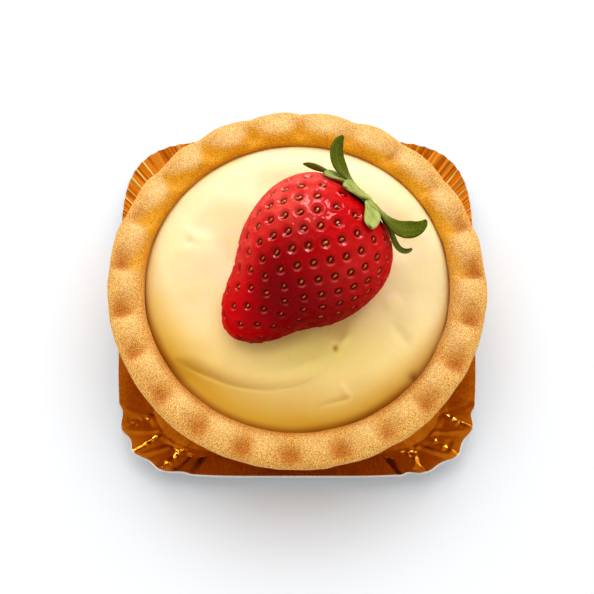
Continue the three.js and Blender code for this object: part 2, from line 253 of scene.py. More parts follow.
def bell(value, width):
    return math.exp(-((value / width) ** 2))


def ring_noise(angle, speed, seed):
    """Noise that closes on itself round a full turn, from -1 to 1."""
    return noise.noise(Vector((speed * math.cos(angle), speed * math.sin(angle), seed)))


def lumpy(place, lumps):
    """Height of uneven ground at a place, from the height and size of each kind of lump."""
    return sum(height * noise.noise(place / size) for height, size in lumps)


def arc(centre, radii, start, end, steps):
    """Points (radius, height) along an ellipse from start to end, in degrees."""
    points = []
    for step in range(steps + 1):
        angle = math.radians(start + (end - start) * step / steps)
        points.append((centre[0] + radii[0] * math.cos(angle), centre[1] + radii[1] * math.sin(angle)))
    return points


def straight(start, end, steps):
    """Points from start towards end, which is left to the next stretch."""
    return [tuple(a + (b - a) * step / steps for a, b in zip(start, end)) for step in range(steps)]


def turn_profile(points, steps):
    """A body turned round Z from (radius, height) points: a grid rolled up and sewn along its seam."""
    bm = bmesh.new()
    rows = len(points) - 1
    bmesh.ops.create_grid(bm, x_segments=steps, y_segments=rows, size=1)
    for vert in bm.verts:
        angle = math.pi * (vert.co.x + 1)
        radius, height = points[round((vert.co.y + 1) / 2 * rows)]
        vert.co = (radius * math.cos(angle), radius * math.sin(angle), height)
    bmesh.ops.remove_doubles(bm, verts=bm.verts, dist=SEAM)
    bmesh.ops.recalc_face_normals(bm, faces=bm.faces)
    return bm


def hand_over(bm, name, node, slot, *materials):
    """Makes the finished piece in metres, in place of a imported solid."""
    bmesh.ops.scale(bm, vec=(MM, MM, MM), verts=bm.verts)
    for face in bm.faces:
        face.smooth = True
    mesh = bpy.data.meshes.new(name)
    bm.to_mesh(mesh)
    bm.free()
    for material in materials:
        mesh.materials.append(material)
    piece = bpy.data.objects.new(name, mesh)
    bpy.context.scene.collection.objects.link(piece)
    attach(piece, "root")
    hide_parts(node)
    return piece


# Materials


def feed(tree, socket, value):
    """Gives a socket another node's output or a plain value."""
    if isinstance(value, bpy.types.NodeSocket):
        tree.links.new(value, socket)
    else:
        socket.default_value = value


def add_node(tree, kind, inputs=None, **settings):
    """A shader node with its settings and what feeds its sockets."""
    node = tree.nodes.new("ShaderNode" + kind)
    for name, value in settings.items():
        setattr(node, name, value)
    for socket, value in (inputs or {}).items():
        feed(tree, node.inputs[socket], value)
    return node


def make_mottle_group():
    """Soft patches in object space, for colour, gloss and relief."""
    group = bpy.data.node_groups.new("Mottle", "ShaderNodeTree")
    for name, start in (("Scale", 500.0), ("Detail", 2.0), ("Low", 0.35), ("High", 0.65)):
        socket = group.interface.new_socket(name, in_out="INPUT", socket_type="NodeSocketFloat")
        socket.default_value = start
    group.interface.new_socket("Mask", in_out="OUTPUT", socket_type="NodeSocketFloat")
    given = group.nodes.new("NodeGroupInput")
    place = add_node(group, "TexCoord")
    patches = add_node(
        group,
        "TexNoise",
        {
            "Vector": place.outputs["Object"],
            "Scale": given.outputs["Scale"],
            "Detail": given.outputs["Detail"],
        },
    )
    mask = add_node(
        group,
        "MapRange",
        {
            "Value": patches.outputs["Fac"],
            "From Min": given.outputs["Low"],
            "From Max": given.outputs["High"],
        },
    )
    result = group.nodes.new("NodeGroupOutput")
    group.links.new(mask.outputs["Result"], result.inputs["Mask"])
    return group


MOTTLE = make_mottle_group()


def mottle(tree, size, low=0.35, high=0.65, detail=2.0):
    """Patches about size millimetres across, as a mask from 0 to 1."""
    node = tree.nodes.new("ShaderNodeGroup")
    node.node_tree = MOTTLE
    for socket, value in (("Scale", 1 / (size * MM)), ("Detail", detail), ("Low", low), ("High", high)):
        node.inputs[socket].default_value = value
    return node.outputs["Mask"]


def painted(tree, name):
    """A mask that was painted on the piece's points."""
    return add_node(tree, "Attribute", attribute_name=name).outputs["Fac"]


def times(tree, first, second):
    return add_node(tree, "Math", {0: first, 1: second}, operation="MULTIPLY").outputs[0]


def plus(tree, first, second):
    """The sum of two masks, at most 1."""
    return add_node(tree, "Math", {0: first, 1: second}, operation="ADD", use_clamp=True).outputs[0]


MIX_COLOURS = (6, 7)  # the Mix node's two colour sockets
MIX_RESULT = 2


def blend(tree, mask, first, second):
    """The first colour where the mask is 0 and the second where it is 1."""
    node = add_node(tree, "Mix", {"Factor": mask}, data_type="RGBA")
    for socket, value in zip(MIX_COLOURS, (first, second)):
        plain = not isinstance(value, bpy.types.NodeSocket)
        feed(tree, node.inputs[socket], (*value, 1) if plain else value)
    return node.outputs[MIX_RESULT]


def spread(tree, mask, low, high):
    """The mask as a value between low and high."""
    return add_node(tree, "MapRange", {"Value": mask, "To Min": low, "To Max": high}).outputs["Result"]


def bump(tree, height, strength, depth):
    """A normal from a height mask whose full relief is depth millimetres."""
    node = add_node(tree, "Bump", {"Height": height, "Strength": strength, "Distance": depth * MM})
    return node.outputs["Normal"]


def new_material(name):
    material = bpy.data.materials.new(name)
    material.use_nodes = True
    tree = material.node_tree
    return material, tree, tree.nodes["Principled BSDF"]


def set_up(tree, shader, **inputs):
    """Sets the shader's own sockets; underscores in a name stand for spaces."""
    for name, value in inputs.items():
        feed(tree, shader.inputs[name.replace("_", " ")], value)


def pastry_material():
    material, tree, shader = new_material("Baked pastry")
    grain = mottle(tree, 0.18, 0.43, 0.57, 1)
    crumbs = mottle(tree, 0.2, 0.55, 0.61, 1)
    patches = mottle(tree, 4, 0.35, 0.75, 3)
    # browning, with painted shade on the shaded side of each crease and at the near inner foot of the rim
    toast_and_shade = plus(tree, painted(tree, "browning_and_shade"), times(tree, patches, 0.2))
    tan = blend(tree, grain, (1.0, 0.58, 0.12), (0.56, 0.18, 0.012))
    cream = blend(tree, grain, (1.0, 0.76, 0.36), (0.86, 0.45, 0.11))
    # painted highlight: paler cream on the humps' tops, strongest at the back towards the lamp, partly
    # less-baked dough
    light = blend(tree, painted(tree, "crest_highlight"), tan, cream)
    flecked = blend(tree, times(tree, crumbs, 0.85), light, (1.0, 0.77, 0.36))
    brown = blend(tree, grain, (0.74, 0.28, 0.024), (0.38, 0.105, 0.006))
    baked = blend(tree, toast_and_shade, flecked, brown)
    # butter soaked in from the custard, with painted shade and custard-coloured bounce light on the far
    # inner wall
    rich_shade = blend(tree, grain, (0.93, 0.46, 0.010), (0.64, 0.24, 0.002))
    colour = blend(tree, painted(tree, "butter_and_shade"), baked, rich_shade)
    relief = plus(tree, times(tree, grain, 0.6), times(tree, crumbs, 0.4))
    set_up(
        tree,
        shader,
        Base_Color=colour,
        Roughness=spread(tree, grain, 0.55, 0.75),
        Normal=bump(tree, relief, 0.7, 0.14),
        Specular_IOR_Level=0.12,
        Sheen_Weight=0.1,
        Sheen_Roughness=0.5,
        Sheen_Tint=(1.0, 0.86, 0.6, 1),
    )
    return material


def custard_material():
    material, tree, shader = new_material("Set custard")
    clouds = mottle(tree, 7, 0.3, 0.7)
    ripples = mottle(tree, 1.6, 0.25, 0.75, 3)
    deep_and_shade = painted(tree, "deep_and_shade")
    pale = blend(tree, clouds, (0.88, 0.74, 0.45), (0.86, 0.715, 0.405))
    # painted fill light that brightens and warms the custard's front in the berry's shade
    fill_lit = blend(tree, painted(tree, "painted_fill"), pale, (0.96, 0.735, 0.28))
    # deeper custard colour with painted shade at the near edge, under the fold and in the hole
    rich_shade = blend(tree, deep_and_shade, fill_lit, (0.71, 0.43, 0.048))
    # painted contact shadow where the custard meets the crust at the front, and in the nick
    colour = blend(tree, painted(tree, "contact_shadow"), rich_shade, (0.36, 0.13, 0.008))
    set_up(
        tree,
        shader,
        Base_Color=colour,
        Roughness=spread(tree, ripples, 0.38, 0.5),
        Normal=bump(tree, ripples, 0.12, 0.15),
        Specular_IOR_Level=0.09,
        Subsurface_Weight=1.0,
        Subsurface_Radius=(1.0, 0.6, 0.22),
        Subsurface_Scale=2.2 * MM,
    )
    return material


def berry_material():
    material, tree, shader = new_material("Strawberry skin")
    cells = mottle(tree, 0.35, 0.3, 0.7)
    patches = mottle(tree, 5, 0.3, 0.7)
    bright = blend(tree, patches, (0.62, 0.001, 0.005), (0.51, 0.001, 0.003))
    # deeper ripe red, and painted shade on the near lower edge
    ripe_and_shade = blend(tree, painted(tree, "ripeness_and_shade"), bright, (0.17, 0.0, 0.002))
    # painted sheen on the flanks and a painted highlight band on the shoulder, partly paler skin
    sheened = blend(tree, painted(tree, "painted_sheen"), ripe_and_shade, (0.80, 0.11, 0.08))
    speckled = blend(tree, times(tree, cells, 0.3), sheened, (0.54, 0.002, 0.003))
    # painted glints on the near banks of the pits
    glinted = blend(tree, painted(tree, "bank_and_glint"), speckled, (0.86, 0.28, 0.24))
    # painted shade in the pits
    colour = blend(tree, painted(tree, "pit"), glinted, (0.15, 0.0, 0.001))
    set_up(
        tree,
        shader,
        Base_Color=colour,
        Roughness=spread(tree, cells, 0.13, 0.22),
        Normal=bump(tree, cells, 0.3, 0.1),
        Specular_IOR_Level=0.0,
        Coat_Weight=0.18,
        Coat_Roughness=0.08,
        Coat_IOR=1.4,
    )
    return material


def seed_material():
    material, tree, shader = new_material("Strawberry seed")
    streaks = mottle(tree, 0.3, 0.3, 0.7)
    gold = blend(tree, painted(tree, "tone"), (0.56, 0.17, 0.02), (0.20, 0.035, 0.006))
    colour = blend(tree, times(tree, streaks, 0.4), gold, (0.74, 0.30, 0.05))
    set_up(
        tree,
        shader,
        Base_Color=colour,
        Roughness=spread(tree, streaks, 0.18, 0.3),
        Normal=bump(tree, streaks, 0.2, 0.08),
        Specular_IOR_Level=0.25,
    )
    return material


def leaf_material():
    material, tree, shader = new_material("Strawberry leaf")
    fuzz = mottle(tree, 0.24, 0.44, 0.6)
    patches = mottle(tree, 1.8, 0.3, 0.7, 3)
    dark = blend(tree, patches, (0.05, 0.064, 0.001), (0.085, 0.10, 0.002))
    light = blend(tree, patches, (0.54, 0.57, 0.215), (0.34, 0.395, 0.09))
    # pale and dark leaves: mostly painted light on the lit and the shaded leaves
    colour = blend(tree, painted(tree, "lit_paleness"), dark, light)
    fuzzy = blend(tree, times(tree, fuzz, 0.36), colour, (0.30, 0.34, 0.02))
    veined = blend(tree, times(tree, painted(tree, "vein"), 0.25), fuzzy, (0.28, 0.32, 0.04))
    tipped = blend(tree, painted(tree, "tip"), veined, (0.10, 0.055, 0.012))
    set_up(
        tree,
        shader,
        Base_Color=tipped,
        Roughness=spread(tree, fuzz, 0.45, 0.65),
        Normal=bump(tree, fuzz, 0.5, 0.12),
        Specular_IOR_Level=0.02,
    )
    return material


def gold_material():
    material, tree, shader = new_material("Gold foil")
    haze = mottle(tree, 9, 0.3, 0.7)
    crinkle = mottle(tree, 1.2, 0.25, 0.75, 3)
    foil = blend(tree, haze, (0.90, 0.60, 0.14), (0.84, 0.55, 0.12))
    # painted reflections on the back corners' pleats: darker streaks, then bright glints
    reflection_streaked = blend(tree, painted(tree, "reflection_streak"), foil, (0.48, 0.25, 0.045))
    colour = blend(tree, painted(tree, "glint"), reflection_streaked, (1.0, 0.78, 0.38))
    set_up(
        tree,
        shader,
        Base_Color=colour,
        Metallic=1.0,
        Roughness=spread(tree, crinkle, 0.07, 0.14),
        Normal=bump(tree, crinkle, 0.2, 0.05),
    )
    return material


def card_material():
    material, tree, shader = new_material("Pale card")
    fibres = mottle(tree, 0.5, 0.3, 0.7, 4)
    colour = blend(tree, fibres, (0.70, 0.68, 0.65), (0.56, 0.53, 0.50))
    set_up(
        tree,
        shader,
        Base_Color=colour,
        Roughness=spread(tree, fibres, 0.7, 0.85),
        Normal=bump(tree, fibres, 0.2, 0.05),
    )
    return material


# Crust


def crust_section():
    """Half section of the pastry shell, from the axis under the base to the axis inside."""
    foot_middle = (BASE_RADIUS - FOOT_INSET, CRUST_BOTTOM + FOOT_ROUND)
    foot = arc(foot_middle, (FOOT_ROUND, FOOT_ROUND), -90, -28, 8)
    wall_top = (TART_RADIUS - RIM_HALF_WIDTH / 2, RIM_MID_Z - RIM_HALF_HEIGHT)
    rim = arc((RIM_MID_RADIUS, RIM_MID_Z), (RIM_HALF_WIDTH, RIM_HALF_HEIGHT), -30, 180, 46)
    inner_wall = (CUSTARD_EDGE - CUSTARD_OVERLAP, CUSTARD_EDGE_Z)
    floor_top = CRUST_BOTTOM + FLOOR_THICKNESS
    chamfer_top = (HOLLOW_FOOT + HOLLOW_CHAMFER / 2, floor_top + HOLLOW_CHAMFER)
    chamfer_foot = (HOLLOW_FOOT - HOLLOW_CHAMFER, floor_top)
    points = straight((0, CRUST_BOTTOM), foot[0], 4) + foot[:-1]
    points += straight(foot[-1], wall_top, 16) + straight(wall_top, rim[0], 3) + rim[:-1]
    points += straight(rim[-1], inner_wall, 5) + straight(inner_wall, chamfer_top, 4)
    points += straight(chamfer_top, chamfer_foot, 2) + straight(chamfer_foot, (0, floor_top), 3)
    return points + [(0, floor_top)]


def crease_turn(angle):
    """The angle with the crimps' unevenness taken in."""
    return angle + math.radians(2.5) * math.cos(angle) + math.radians(1.6) * ring_noise(angle, 3.2, 1.7)


def hump_at(angle):
    """0 in a crease, 1 on the hump between two creases; at the sides each hump leans to the back."""
    share = (crease_turn(angle) - CRIMP_START) / FULL_TURN * CRIMPS % 1
    if math.cos(angle) < 0:
        share = 1 - share
    lean = 1 + 0.7 * abs(math.cos(angle))
    return max(0.0, math.sin(math.pi * share**lean)) ** CRIMP_SHARPNESS


def browning_and_shade_at(angle, radius):
    """Browning of the pressed dents, with painted shade on the far side of each crease, the slope turned
    away from the lamp.
    """
    period = FULL_TURN / CRIMPS
    turned = crease_turn(angle) - CRIMP_START
    aside = math.degrees(turned - period * round(turned / period))
    sideways = math.cos(angle)
    # at the sides, the far half of each crease faces away from the lamp and gets wider painted shade
    shaded_half = aside * sideways > 0
    lean = BROWNING_LEAN[0] if shaded_half else BROWNING_LEAN[1]
    width = BROWNING_WIDTH + lean * abs(sideways)
    strength = 0.95 + 0.45 * ring_noise(angle, 2.6, 8.1)
    return strength * bell(aside, width) * bell(radius - RIM_MID_RADIUS - 1.4, BROWNING_REACH)


def crust_paint(place, top, hump):
    """How browned, with painted shade, how buttery, with painted shade and bounce light, and how pale,
    with a painted highlight, the pastry is at a place, each from 0 to 1.
    """
    x, y, z = place
    radius = math.hypot(x, y)
    angle = math.atan2(y, x)
    near = smooth(-math.sin(angle), 0, 0.7)
    far = smooth(math.sin(angle), 0, 0.8)
    # painted shade, with some browning of the moist edge, along the rim's inner foot on the near side
    rim_foot_shade = near * smooth(RIM_MID_RADIUS - radius, 1.8, 3.6)
    browned_and_shaded = browning_and_shade_at(angle, radius) * top * (1.1 - 0.9 * far) + 0.9 * rim_foot_shade
    # The rim's right far side is the most even in colour
    even = far * smooth(math.cos(angle), -0.3, 0.5)
    swell = hump + 0.7 * even * (0.75 - hump)
    # painted highlight on the humps' tops, strongest at the back towards the lamp
    lit = bell(radius - RIM_MID_RADIUS + 0.9 * near, 2.2)
    lit *= 0.34 + 0.4 * far + 0.14 * abs(math.cos(angle))
    pale = top * (0.25 + 0.75 * swell) * lit
    wall_depth = RIM_MID_RADIUS - radius - 3.0 * swell
    # butter from the custard with painted shade and custard-coloured bounce light, mostly on the far inner
    # wall
    buttery_and_shaded = smooth(z, CUSTARD_EDGE_Z - 1.5, CUSTARD_EDGE_Z)
    buttery_and_shaded *= smooth(wall_depth + far * (1.9 - 1.1 * swell), -1.4, 1.6)
    buttery_and_shaded *= 0.12 + 0.88 * smooth(y, -8, 12)
    return min(1.0, browned_and_shaded), buttery_and_shaded, pale


def make_crust():
    """The pastry shell: a turned section whose rim is crimped, scalloped and roughened."""
    bm = turn_profile(crust_section(), CRUST_STEPS)
    browning_and_shade = bm.verts.layers.float.new("browning_and_shade")
    butter_and_shade = bm.verts.layers.float.new("butter_and_shade")
    crest_highlight = bm.verts.layers.float.new("crest_highlight")
    for vert in bm.verts:
        x, y, z = vert.co
        radius = math.hypot(x, y)
        if radius < 1:
            continue
        angle = math.atan2(y, x)
        on_rim = smooth(z, RIM_MID_Z - 3.4, RIM_MID_Z) * smooth(radius, 31.5, 33)
        top = smooth(z, RIM_MID_Z, TART_HEIGHT)
        hump = hump_at(angle)
        far = smooth(math.sin(angle), 0, 0.8)
        from_middle = radius - RIM_MID_RADIUS - CRIMP_OUT + CRIMP_FAR_SHIFT * far
        across = from_middle / (CRIMP_REACH + 0.6 * far)
        depth = CRIMP_DEPTH * (1 + 0.3 * ring_noise(angle, 3.5, 4.2))
        z -= depth * (1 - hump) * top * bell(across, 1)
        z += on_rim * (RIM_WAVE * ring_noise(angle, 2.2, 6.3) - RIM_DROP)
        edge = smooth(radius, RIM_MID_RADIUS + 1, TART_RADIUS)
        scallop = SCALLOP * (0.25 + smooth(math.sin(angle), -0.2, 0.7))
        grown = radius + edge * (scallop * (hump - 0.7) + RIM_WANDER * ring_noise(angle, 3.4, 2.9))
        wall = smooth(z, CRUST_BOTTOM + 1, CRUST_BOTTOM + 4) * smooth(radius, 30, 32)
        lumps = lumpy(vert.co, CRUST_LUMPS)
        grown += wall * (1 - top) * 0.8 * lumps
        z += 0.8 * top * lumps
        crack = bell(radius * (angle - CRACK_ANGLE), 0.35) * bell(radius - CRACK_RADIUS, 1.1)
        z -= top * CRACK_DEPTH * crack
        inner = smooth(RIM_MID_RADIUS - radius, 0, 3.6)
        vert.co = (grown * math.cos(angle), grown * math.sin(angle) + HOLLOW_SHIFT * inner * on_rim, z)
        vert[browning_and_shade], vert[butter_and_shade], vert[crest_highlight] = crust_paint((x, y, z), top, hump)
    return hand_over(bm, "pastry_shell", "crust", "pastry", pastry_material())


# Strawberry


def berry_radius(share):
    """Radius of the smooth berry at a share of its length from the tip."""
    swell = max(0.0, math.sin(math.pi * share**BERRY_SWELL)) ** BERRY_BLUNTNESS
    waist = BERRY_WAIST * bell(share - 0.27, 0.12) * smooth(share, 0, 0.1)
    return max(0.0, BERRY_RADIUS * swell - waist)


def berry_place():
    """Lays the berry, or what was shaped round it, on the custard."""
    axis = Vector(
        (
            math.cos(BERRY_TURN) * math.cos(BERRY_TILT),
            math.sin(BERRY_TURN) * math.cos(BERRY_TILT),
            math.sin(BERRY_TILT),
        )
    )
    level = Vector((-math.sin(BERRY_TURN), math.cos(BERRY_TURN), 0))
    turned = Matrix((level, axis.cross(level), axis)).transposed().to_4x4()
    return Matrix.Translation(BERRY_TIP) @ turned


def seed_places():
    """Seeds spread evenly along a spiral from the tip to the leaves, as (share, turn)."""
    samples = 400
    covered = [0.0]
    for i in range(samples):
        covered.append(covered[-1] + berry_radius((i + 0.5) / samples))
    places = []
    i = 0
    for seed in range(SEEDS):
        wanted = covered[-1] * (seed + 0.5) / SEEDS
        while covered[i] < wanted:
            i += 1
        places.append((i / samples, seed * GOLDEN_ANGLE))
    return places


def on_skin(share, turn):
    radius = berry_radius(share)
    return Vector((radius * math.cos(turn), radius * math.sin(turn), share * BERRY_LENGTH))


def skin_normal(share, turn):
    """Outward direction of the smooth skin."""
    step = 0.004
    wider = berry_radius(min(1, share + step)) - berry_radius(max(0, share - step))
    longer = 2 * step * BERRY_LENGTH
    return Vector((longer * math.cos(turn), longer * math.sin(turn), -wider)).normalized()


def skin_paint(place):
    """How ripe, with painted shade on the near lower edge, and how much painted sheen and highlight the
    skin has at a place on the smooth berry, each from 0 to 1.
    """
    x, y, z = place
    share = z / BERRY_LENGTH
    girth = max(1.0, berry_radius(share))
    sunny = (0.75 * y - 0.9 * x) / BERRY_RADIUS
    # painted shade on the near lower edge
    shaded_low_edge = smooth(-(0.85 * x + 0.4 * y) / girth, 0.1, 0.75) * (1 - smooth(share, 0.5, 0.85))
    ripe_and_shade = max(bell(share - RIPE_SHARE, 0.38) * smooth(sunny, 0.1, 0.7), 0.9 * shaded_low_edge)
    # painted sheen on the flanks and a painted highlight on the shoulder
    far_flank = smooth(x / girth, 0.15, 0.95)
    near_flank = bell(x / BERRY_RADIUS + 0.65, 0.3)
    flank_sheen = 0.7 * far_flank * smooth(share, 0.05, 0.5) + 0.18 * near_flank * smooth(share, 0.4, 0.75)
    shoulder_highlight = bell(share - SHOULDER_SHARE, 0.13) * smooth(x / BERRY_RADIUS, -0.25, 0.35)
    blotch = 0.8 + 0.7 * noise.noise(place / 2.4)
    return ripe_and_shade, min(1.0, (flank_sheen + 0.5 * shoulder_highlight) * blotch)


def make_berry_body():
    """The berry in its own frame, with a pit pressed in for each seed."""
    shares = [(1 - math.cos(math.pi * row / BERRY_ROWS)) / 2 for row in range(BERRY_ROWS + 1)]
    bm = turn_profile([(berry_radius(share), share * BERRY_LENGTH) for share in shares], BERRY_COLUMNS)
    pit_shade_layer = bm.verts.layers.float.new("pit")
    pit_glint_layer = bm.verts.layers.float.new("bank_and_glint")
    ripeness_and_shade = bm.verts.layers.float.new("ripeness_and_shade")
    painted_sheen = bm.verts.layers.float.new("painted_sheen")
    for vert in bm.verts:
        vert[ripeness_and_shade], vert[painted_sheen] = skin_paint(vert.co)
        uneven = 1 + 0.012 * noise.noise(vert.co / 7 + Vector((3, 0, 5)))
        vert.co = (uneven * vert.co.x, uneven * vert.co.y, vert.co.z)
    bm.normal_update()
    seeds = seed_places()
    seed_finder = KDTree(len(seeds))
    for index, (share, turn) in enumerate(seeds):
        seed_finder.insert(on_skin(share, turn), index)
    seed_finder.balance()
    sunk = []
    for vert in bm.verts:
        place, index, away = seed_finder.find(vert.co)
        share = seeds[index][0]
        size = PIT_RADIUS * (0.8 + 0.3 * smooth(share, 0.05, 0.7))
        pit = math.exp(-((away / size) ** 3))
        bank_and_glint = PIT_BANK * bell(away - 1.4 * size, 0.38 * size)
        side = (vert.co - place).normalized().dot(PIT_GLINT_SIDE)
        # painted glint on each pit's near bank, with a faint pale ring all round
        vert[pit_glint_layer] = (0.05 + 0.4 * smooth(side, 0.4, 0.95)) * bell(away - size, 0.12 * size)
        # painted shade in each pit
        vert[pit_shade_layer] = smooth(pit, 0.3, 0.92)
        grain = SKIN_GRAIN * noise.noise(vert.co / SKIN_GRAIN_SIZE)
        sunk.append(vert.normal * (bank_and_glint + grain - PIT_DEPTH * pit))
    for vert, move in zip(bm.verts, sunk):
        vert.co += move
    return bm


def make_seeds():
    """One small drop-shaped seed in each pit."""
    rng = random.Random(11)
    drop = bmesh.new()
    bmesh.ops.create_uvsphere(drop, u_segments=8, v_segments=6, radius=1)
    for vert in drop.verts:
        taper = 1 - SEED_TAPER * vert.co.z
        vert.co = (
            vert.co.x * SEED_SIZE[0] * taper,
            vert.co.y * SEED_SIZE[1] * taper,
            vert.co.z * SEED_SIZE[2],
        )
    pattern = bpy.data.meshes.new("seed")
    drop.to_mesh(pattern)
    drop.free()
    bm = bmesh.new()
    tone = bm.verts.layers.float.new("tone")
    for share, turn in seed_places():
        normal = skin_normal(share, turn)
        around = Vector((-math.sin(turn), math.cos(turn), 0))
        along = around.cross(normal)
        lean = Matrix.Rotation(rng.uniform(-0.35, 0.35), 3, normal)
        axes = Matrix((lean @ around, normal, lean @ along)).transposed()
        size = rng.uniform(0.85, 1.12) * (0.85 + 0.2 * smooth(share, 0.05, 0.6))
        middle = on_skin(share, turn) - normal * (PIT_DEPTH - SEED_PROUD)
        shade = rng.random()
        bm.from_mesh(pattern)
        bm.verts.ensure_lookup_table()
        for vert in bm.verts[-len(pattern.vertices):]:
            vert[tone] = min(1.0, max(0.0, 0.8 * shade + 0.35 * vert.co.z / SEED_SIZE[2]))
            vert.co = middle + axes @ vert.co * size
    bpy.data.meshes.remove(pattern)
    bmesh.ops.transform(bm, matrix=berry_place(), verts=bm.verts)
    bmesh.ops.recalc_face_normals(bm, faces=bm.faces)
    return hand_over(bm, "strawberry_seeds", "strawberry", "seed", seed_material())


# Custard


def crown_at(radius, angle):
    """Height of the smooth custard above its edge."""
    squareness = CROWN_SQUARENESS + 1.2 * math.sin(angle) + 0.4 * math.cos(angle)
    share = min(1.0, radius / CUSTARD_EDGE)
    roundness = CROWN_ROUNDNESS - 0.2 * smooth(math.sin(angle), -0.7, 0.1)
    far_lip = (FAR_LIP + smooth(math.cos(angle), 0.2, 0.8)) * smooth(math.sin(angle), -0.1, 0.4)
    return CUSTARD_RISE * (1 - share**squareness) ** roundness + far_lip * smooth(share, 0.7, 1.0)


def fold_at(radius, angle):
    """The spatula's spiral fold: outside it the custard lies a step lower."""
    along = (angle % FULL_TURN - FOLD_FROM) / (FOLD_TO - FOLD_FROM)
    if not 0 < along < 1:
        return 0.0
    fold = FOLD_RADIUS - FOLD_DRIFT * along**0.62
    reach = smooth(along, -0.04, 0.12) * (1 - smooth(along, 0.62, 0.92))
    rolled = min(1.0, max(0.0, (radius - fold) / FOLD_ROUND + 1)) ** 2.5
    evened = 1 - smooth(radius, fold + 1.6, max(CUSTARD_EDGE, fold) + 0.17 * fold)
    groove = 0.3 * bell(radius - fold - 0.25, 0.4)
    return -reach * (FOLD_STEP * rolled * evened + groove)


def ridge_at(x, y, start, end, height, width):
    """A low rounded ridge along a line, fading at both ends."""
    start = Vector(start)
    line = Vector(end) - start
    spot = Vector((x, y)) - start
    along = spot.dot(line) / line.length_squared
    away = spot.cross(line) / line.length
    return height * bell(away, width) * smooth(along, -0.3, 0.4) * (1 - smooth(along, 0.7, 1.3))


def lip_crease_at(x, y):
    """A short crease near the front edge, where the spatula was lifted."""
    start, end = LIP_CREASE
    ahead = (end - start).normalized()
    spot = Vector((x, y)) - start
    along = spot.dot(ahead) / (end - start).length
    below = spot.dot(Vector((ahead.y, -ahead.x)))
    reach = smooth(along, -0.1, 0.8) * (1 - smooth(along, 0.85, 1.2))
    return reach * (0.35 * bell(below + 1.3, 1.1) - 0.65 * bell(below, 0.42))


def spot_at(x, y, middle, width):
    """1 in the middle of a round spot, fading over its width."""
    return bell(math.hypot(x - middle[0], y - middle[1]), width)


def custard_paint(x, y, folded):
    """How deep with painted shade, how much painted contact shadow and how much painted fill light the
    custard's colour has at a place, each from 0 to 1.
    """
    angle = math.atan2(y, x)
    share = math.hypot(x, y) / CUSTARD_EDGE
    near = smooth(-math.sin(angle + math.radians(12)), -0.25, 0.75)
    width = 0.38 * near * (1 - 0.35 * smooth(math.cos(angle), 0, 0.8))
    # deeper colour with painted shade towards the near edge, under the fold, in the hole and in front of
    # the berry
    rim_shade = smooth(share, 0.96 - width, 1.0) * (0.2 + 0.8 * near)
    hole_shade = spot_at(x, y, *CUSTARD_HOLE[:2])
    berry_shadow = 0.2 * spot_at(x, y, *CUSTARD_BERRY_SHADOW)
    deep_and_shade = min(1.0, rim_shade + 0.9 * hole_shade + berry_shadow - 0.14 * folded / FOLD_STEP)
    # painted contact shadow along the near edge and in the nick
    seam = smooth(share, 0.985 - 0.055 * near, 1.0)
    contact_shadow = max(0.9 * near * near * seam, 0.8 * spot_at(x, y, *CUSTARD_NICK[:2]))
    # painted fill light over the custard's front middle
    aside = (x - FILL_MIDDLE[0]) / FILL_REACH[0]
    ahead = (y - FILL_MIDDLE[1]) / FILL_REACH[1]
    return deep_and_shade, contact_shadow, bell(math.hypot(aside, ahead), 1)


def make_custard(berry):
    """The custard, with a bed pressed in by the berry."""
    bottom_edge = (HOLLOW_FOOT - HOLLOW_CHAMFER, CUSTARD_BOTTOM)
    side_foot = (HOLLOW_FOOT, CUSTARD_BOTTOM + HOLLOW_CHAMFER)
    points = straight((0, CUSTARD_BOTTOM), bottom_edge, 4) + straight(bottom_edge, side_foot, 2)
    points += straight(side_foot, (CUSTARD_EDGE, CUSTARD_EDGE_Z), 4)
    for ring in range(CUSTARD_RINGS, -1, -1):
        points.append((CUSTARD_EDGE * math.sin(math.pi / 2 * ring / CUSTARD_RINGS), CUSTARD_EDGE_Z))
    bm = turn_profile(points, CUSTARD_STEPS)
    skin = BVHTree.FromBMesh(berry)
    deep_and_shade = bm.verts.layers.float.new("deep_and_shade")
    contact_shadow = bm.verts.layers.float.new("contact_shadow")
    painted_fill = bm.verts.layers.float.new("painted_fill")
    up = Vector((0, 0, 1))
    for vert in bm.verts:
        x, y, z = vert.co
        radius = math.hypot(x, y)
        angle = math.atan2(y, x)
        vert.co.y += HOLLOW_SHIFT * smooth(z, 10, 14)
        if z < CUSTARD_EDGE_Z - 0.01:
            vert[deep_and_shade] = 1.0
            continue
        inside = 1 - smooth(radius / CUSTARD_EDGE, 0.8, 1)
        folded = fold_at(radius, angle)
        z += crown_at(radius, angle) + folded + lip_crease_at(x, y)
        z += sum(ridge_at(x, y, *mark) for mark in CUSTARD_RIDGES)
        z += inside * lumpy(vert.co, CUSTARD_LUMPS)
        for middle, width, depth in (CUSTARD_HOLE, CUSTARD_NICK, CUSTARD_DIMPLE):
            z -= depth * spot_at(x, y, middle, width)
        spot = Vector((vert.co.x, vert.co.y, z))
        gap = skin.find_nearest(spot)[3]
        z += inside * BED_RIM * bell(gap - BED_RIM_AWAY, 2.2)
        under = skin.ray_cast(Vector((spot.x, spot.y, 0)), up)[0]
        if under is not None:
            z = min(z, under.z + BED_OVERLAP)
        vert.co.z = z
        vert[deep_and_shade], vert[contact_shadow], vert[painted_fill] = custard_paint(x, y, folded)
    bmesh.ops.recalc_face_normals(bm, faces=bm.faces)
    return hand_over(bm, "custard_filling", "custard", "custard", custard_material())


# Leaves


